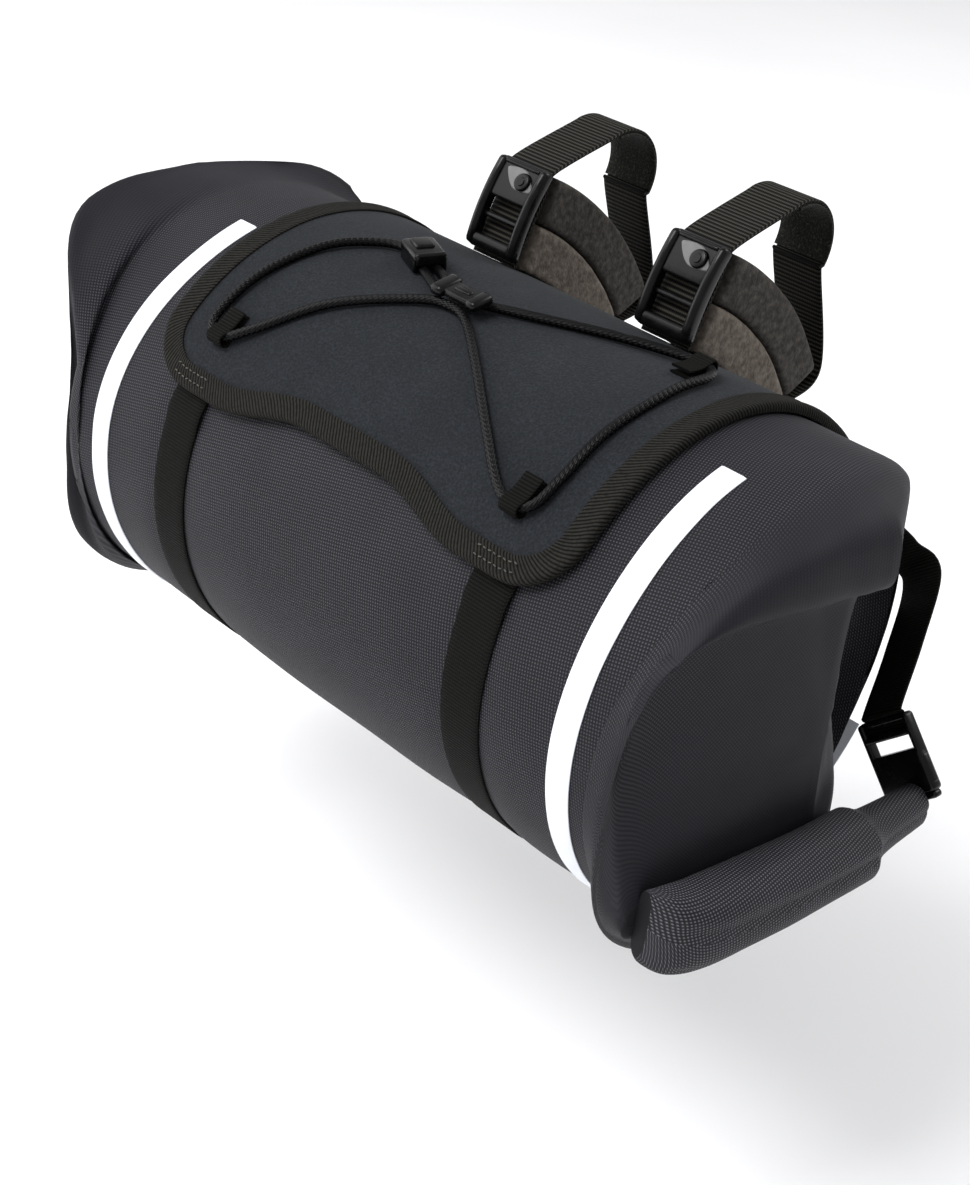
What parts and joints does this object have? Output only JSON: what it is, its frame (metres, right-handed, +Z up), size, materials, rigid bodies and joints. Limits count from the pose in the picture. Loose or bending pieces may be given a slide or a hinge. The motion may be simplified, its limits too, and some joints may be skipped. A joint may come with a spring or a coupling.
{
  "type": "handlebar bag",
  "caption": "Roll-closed cylindrical handlebar bag in a strap harness, hung from a handlebar by buckled strap loops on foam spacers, with an elastic cord over its top panel.",
  "frame": {"origin": "on the handlebar's axis, midway between the two strap loops that hang the bag from it", "axes": "+X along the handlebar and the bag, -Y ahead of the bicycle, +Z up"},
  "size_m": [0.4327, 0.224, 0.2423],
  "materials": {
    "coated_fabric": "matte coated polyester, fine plain weave",
    "felted_panel": "matte felt-like laminate",
    "binding_tape": "twill tape, matte",
    "webbing": "ribbed polyester webbing, matte",
    "reflective": "retroreflective film, satin",
    "foam": "closed-cell foam, matte",
    "buckle_plastic": "moulded acetal, glossy",
    "elastic_cord": "braided sheath over rubber, satin"
  },
  "bodies": {
    "root": {"bag_body": "coated_fabric", "bar_strap_left": "webbing", "bar_strap_right": "webbing", "buckle_pin_left": "buckle_plastic", "buckle_pin_right": "buckle_plastic", "cam_buckle_left": "buckle_plastic", "cam_buckle_right": "buckle_plastic", "centre_hook": "buckle_plastic", "closure_roll_left": "coated_fabric", "closure_roll_right": "coated_fabric", "cord_lock": "buckle_plastic", "cord_tab_front_left": "webbing", "cord_tab_front_right": "webbing", "cord_tab_rear_right": "webbing", "end_strap_left": "webbing", "end_strap_right": "webbing", "foam_lower_left": "foam", "foam_lower_right": "foam", "foam_upper_left": "foam", "foam_upper_right": "foam", "front_strap_left": "webbing", "front_strap_right": "webbing", "panel_binding": "binding_tape", "reflective_stripe_left": "reflective", "reflective_stripe_right": "reflective", "shock_cord": "elastic_cord", "side_buckle_left": "buckle_plastic", "side_buckle_right": "buckle_plastic", "top_panel": "felted_panel"}
  },
  "joints": []
}
